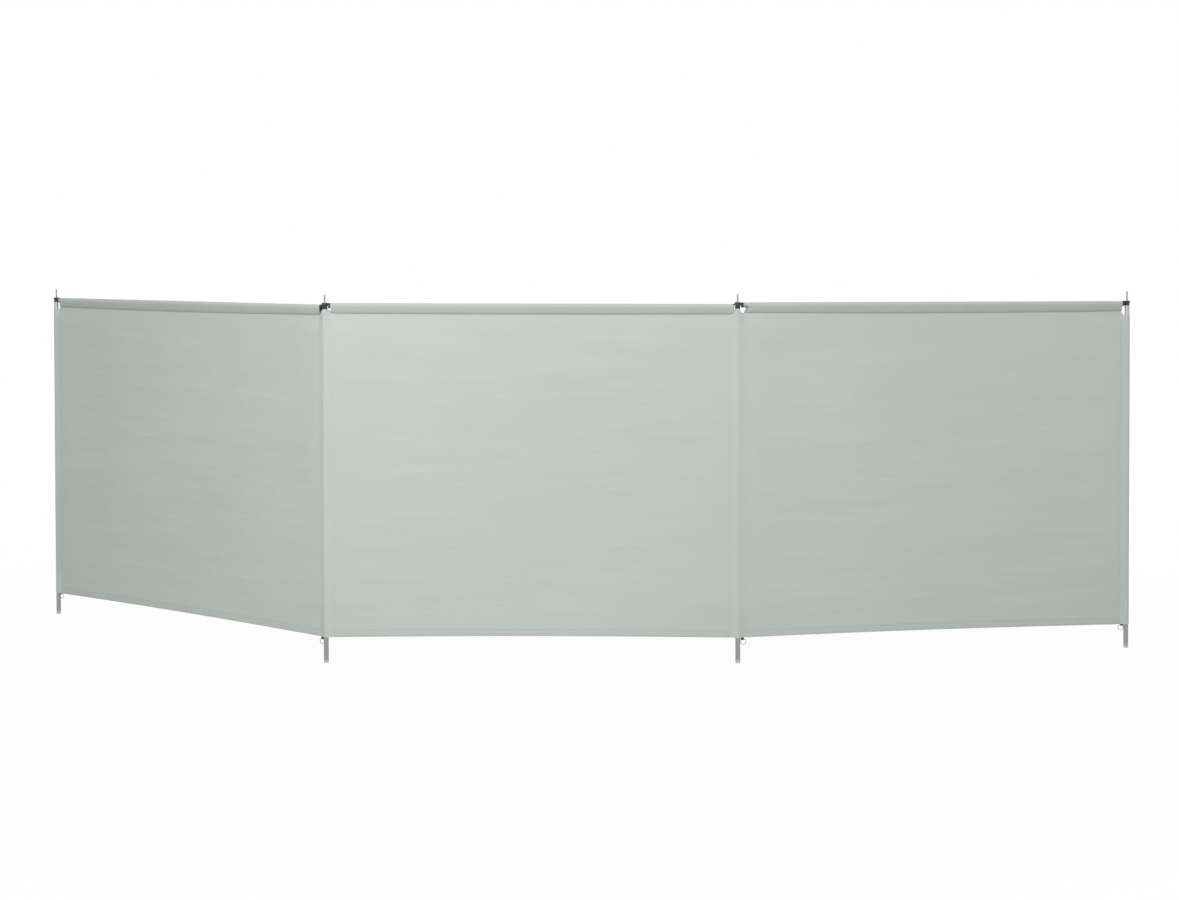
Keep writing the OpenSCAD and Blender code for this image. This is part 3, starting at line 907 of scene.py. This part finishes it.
def stitch_row(start, end):
    """One row of stitches from start to end in the object's frame; returns the row."""
    length = (end - start).length
    bpy.ops.mesh.primitive_uv_sphere_add(segments=6, ring_count=4, radius=0.5)
    row = bpy.context.object
    bpy.ops.object.mode_set(mode="EDIT")
    bpy.ops.mesh.select_all(action="SELECT")
    bpy.ops.transform.rotate(value=math.pi / 2, orient_axis="Y", center_override=(0, 0, 0))
    bpy.ops.transform.resize(value=(STITCH_LENGTH, THREAD_T, THREAD_T), center_override=(0, 0, 0))
    bpy.ops.transform.translate(value=(STITCH_PITCH / 2, 0, 0))
    bpy.ops.object.mode_set(mode="OBJECT")
    repeat = row.modifiers.new("repeat", "ARRAY")
    repeat.count = int(length / STITCH_PITCH)
    repeat.use_relative_offset = False
    repeat.use_constant_offset = True
    repeat.constant_offset_displace = (STITCH_PITCH, 0, 0)
    bpy.ops.object.modifier_apply(modifier=repeat.name)
    turn = (end - start).to_track_quat("X", "Z").to_matrix().to_4x4()
    row.data.transform(Matrix.Translation(start) @ turn)
    return row


ON_PANEL, ON_STRIP = LAYER + CANVAS_T / 2, FACE_OFF + CANVAS_T / 2
ROW_PARTS = 13


def bay_rows(bay):
    """Start and end of every row on a bay: under the rail and above the hem, in short runs that follow
    the sag and the arch, and beside both poles."""
    rows = []
    left, right = STRIP_END + 0.002, PITCH - STRIP_END - 0.002
    for side in (-1, 1):
        y = side * ON_PANEL
        stops = [left + (right - left) * k / ROW_PARTS for k in range(ROW_PARTS + 1)]
        under_rail = [bay.place(u, y, bay.seam(u) - 0.0013) for u in stops]
        over_hem = [bay.place(u, y, hem_edge(bay.name, u) + HEM_HEIGHT - 0.003) for u in stops]
        rows += list(zip(under_rail, under_rail[1:])) + list(zip(over_hem, over_hem[1:]))
        for u in (STRIP_END - 0.0025, PITCH - STRIP_END + 0.0025):
            rows.append((bay.place(u, side * ON_STRIP, hem_edge(bay.name, u) + 0.003),
                         bay.place(u, side * ON_STRIP, bay.seam(u) - 0.005)))
    return rows


threads = {}
for name, bay in bays.items():
    made = [stitch_row(start, end) for start, end in bay_rows(bay)]
    select_only(*made)
    bpy.ops.object.join()
    threads[name] = bpy.context.object
    threads[name].name = threads[name].data.name = name + "_thread"
    bpy.ops.object.shade_smooth()
    coat(threads[name], thread)
    print(name, "thread:", len(threads[name].data.polygons), "faces")

# %% [markdown]
# A peg loop is a ring of thin olive cord that hangs from a tab of dark webbing. The tab is folded over the
# ring's straight bar, and its two ends go up between the layers of the sleeve. Both are bands that follow a
# path: the ring takes a round section along a closed one, and the tab is a short folded sheet.

# %% Band helper
LOOP_W, LOOP_H = 0.022, 0.025
CORD_W, TAB_T = 0.0019, 0.0009
TAB_START, TAB_END = 0.0120, 0.0242
BAR_DROP = 0.0050


def cord_section(sides=12):
    """The cord's outline, a circle pressed a little square, as (across the path, along the depth)."""
    outline = []
    for k in range(sides + 1):
        a = 2 * math.pi * k / sides
        outline.append((CORD_W / 2 * math.copysign(abs(math.cos(a)) ** 0.6, math.cos(a)),
                        CORD_W / 2 * math.copysign(abs(math.sin(a)) ** 0.75, math.sin(a))))
    return outline


def close_up(piece, material):
    """Merges the grid's meeting edges, caps what is open, and points all faces outwards."""
    bpy.ops.object.mode_set(mode="EDIT")
    bpy.ops.mesh.select_all(action="SELECT")
    bpy.ops.mesh.remove_doubles(threshold=0.00002)
    bpy.ops.mesh.select_all(action="DESELECT")
    bpy.ops.mesh.select_non_manifold()
    bpy.ops.mesh.edge_face_add()
    bpy.ops.mesh.select_all(action="SELECT")
    bpy.ops.mesh.normals_make_consistent(inside=False)
    bpy.ops.object.mode_set(mode="OBJECT")
    bpy.ops.object.shade_smooth_by_angle(angle=math.radians(60))
    coat(piece, material)
    return piece


print("cord section:", len(cord_section()), "points")

# %% Peg loops
def ring_path():
    """Middle line of the cord as (u from the ring's middle, height over the hem's lower edge), closed."""
    half, bottom, corner = LOOP_W / 2 - CORD_W / 2, -LOOP_H + CORD_W / 2, 0.003
    top = -BAR_DROP
    half_turn = [math.pi * k / 16 for k in range(17)]
    arc = [(-half * math.cos(a), bottom + half - half * math.sin(a)) for a in half_turn]
    up_right = [(half, bottom + half + (top - corner - bottom - half) * k / 4) for k in range(1, 4)]
    turn = [(half - corner * (1 - math.cos(a)), top - corner * (1 - math.sin(a)))
            for a in (math.pi * k / 10 for k in range(6))]
    bar = [(half - corner - (2 * half - 2 * corner) * k / 5, top) for k in range(1, 5)]
    right_side = up_right + turn
    return arc + right_side + bar + [(-u, z) for u, z in reversed(right_side)] + [arc[0]]


def make_ring(name, bay, u_middle):
    path, section = ring_path(), cord_section()
    flat, place, length = [], [], 0.0
    for k, (u, z) in enumerate(path):
        before = path[k - 1] if k else path[-2]
        after = path[k + 1] if k + 1 < len(path) else path[1]
        run = Vector((after[0] - before[0], after[1] - before[1])).normalized()
        across = Vector((run.y, -run.x))
        length += math.dist(path[k - 1], path[k]) if k else 0.0
        flat.append([(0.0006 * i, length) for i in range(len(section))])
        place.append([bay.place(u_middle + u + across.x * w, depth, HEM_BOTTOM + z + across.y * w)
                      for w, depth in section])
    return close_up(cloth_from_grid(name, flat, place), olive_cord)


def make_tab(name, bay, u_start, u_end):
    """Webbing folded over the ring's bar, with both ends up inside the sleeve."""
    fold_r = CORD_W / 2 + TAB_T / 2 + 0.0001
    half_turn = [math.pi * k / 8 for k in range(9)]
    fold = [(-fold_r * math.cos(a), -BAR_DROP - fold_r * math.sin(a)) for a in half_turn]
    leg = [0.010 - 0.0028 * k for k in range(6)]
    path = [(-fold_r, z) for z in leg] + fold + [(fold_r, z) for z in reversed(leg)]
    flat, place, length = [], [], 0.0
    columns_across = 9
    for k, (depth, z) in enumerate(path):
        length += math.dist(path[k - 1], path[k]) if k else 0.0
        across = [u_start + (u_end - u_start) * i / columns_across for i in range(columns_across + 1)]
        flat.append([(u, length) for u in across])
        place.append([bay.place(u, depth, HEM_BOTTOM + z) for u in across])
    return finish_cloth(cloth_from_grid(name, flat, place), TAB_T, olive_webbing)


def make_peg_loop(name, bay, from_right):
    """A ring with its tab as one piece, beside the bay's left pole or, if from_right, its right one."""
    middle = POLE_R + 0.0015 + LOOP_W / 2
    ends = (PITCH - TAB_END, PITCH - TAB_START) if from_right else (TAB_START, TAB_END)
    ring = make_ring(name, bay, PITCH - middle if from_right else middle)
    tab = make_tab(name + "_tab", bay, *ends)
    select_only(ring, tab)
    bpy.ops.object.join()
    return ring


loop_places = {
    "left_outer_tape_loop": ("left", False), "left_inner_tape_loop": ("left", True),
    "right_inner_tape_loop": ("right", False), "right_outer_tape_loop": ("right", True),
}
loops = {name: make_peg_loop(name, bays[bay_name], from_right)
         for name, (bay_name, from_right) in loop_places.items()}
print("loops:", {name: len(loop.data.polygons) for name, loop in loops.items()})

# %% [markdown]
# The construction model's tubes, spikes and mouldings keep their shape. They only need their finish, and
# a fine live bevel so that their edges catch the light as real edges do. Weld comes before it, because
# the loaded meshes are loose triangles and a bevel needs joined ones.

# %% Dress the construction nodes
WELD_REACH = 0.000005


def finish_for(node):
    if node.endswith("_pole"):
        return pole_steel, 0.0002
    if node.endswith("_rail"):
        return rail_steel, 0.0002
    if node.endswith("_spike"):
        return spike_steel, 0.0
    if node.endswith("_foot"):
        return foot_plastic, 0.0003
    if node.endswith("_cap") or node.endswith("_eye"):
        return black_plastic, 0.0004
    return canvas, 0.0


for node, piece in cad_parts.items():
    material, bevel_width = finish_for(node)
    coat(piece, material)
    if bevel_width:
        weld = piece.modifiers.new("join_triangles", "WELD")
        weld.merge_threshold = WELD_REACH
        bevel = piece.modifiers.new("edge", "BEVEL")
        bevel.width = bevel_width
        bevel.segments = 2
        bevel.limit_method = "ANGLE"
        bevel.angle_limit = math.radians(40)
print("dressed:", len(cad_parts), "nodes")

# %% [markdown]
# Last, the pieces are tied to what carries them. Pieces on a bay ride with that bay, and the construction
# nodes that they replace are hidden. A wrap at an inner pole belongs to two bays that swing; its transform
# is only baked into its mesh, and it is tied to neither.

# %% Ride and replace
for name, bay in bays.items():
    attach(bay_canvases[name], bay.body)
    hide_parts(name + "_rail_sleeve", name + "_panel", name + "_hem")
    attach(threads[name], bay.body)
loop_nodes = {name: name.replace("_tape_", "_peg_") for name in loops}
for name, loop in loops.items():
    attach(loop, bays[loop_places[name][0]].body)
    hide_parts(loop_nodes[name])
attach(sleeves["left_end_wrap"][0], "left_bay")
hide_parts("left_end_sleeve")
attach(sleeves["right_end_wrap"][0], "right_bay")
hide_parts("right_end_sleeve")
for side, outer, pole, direction in (("left_inner", "left_bay", poles["left_inner"], 180 + LEFT_TURN),
                                     ("right_inner", "right_bay", poles["right_inner"], RIGHT_TURN)):
    for face in ("front", "back"):
        wrap = sleeves[f"{side}_wrap_{face}"][0]
        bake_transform(wrap)
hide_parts("left_inner_sleeve", "left_sleeve_flap")
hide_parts("right_inner_sleeve", "right_sleeve_flap")
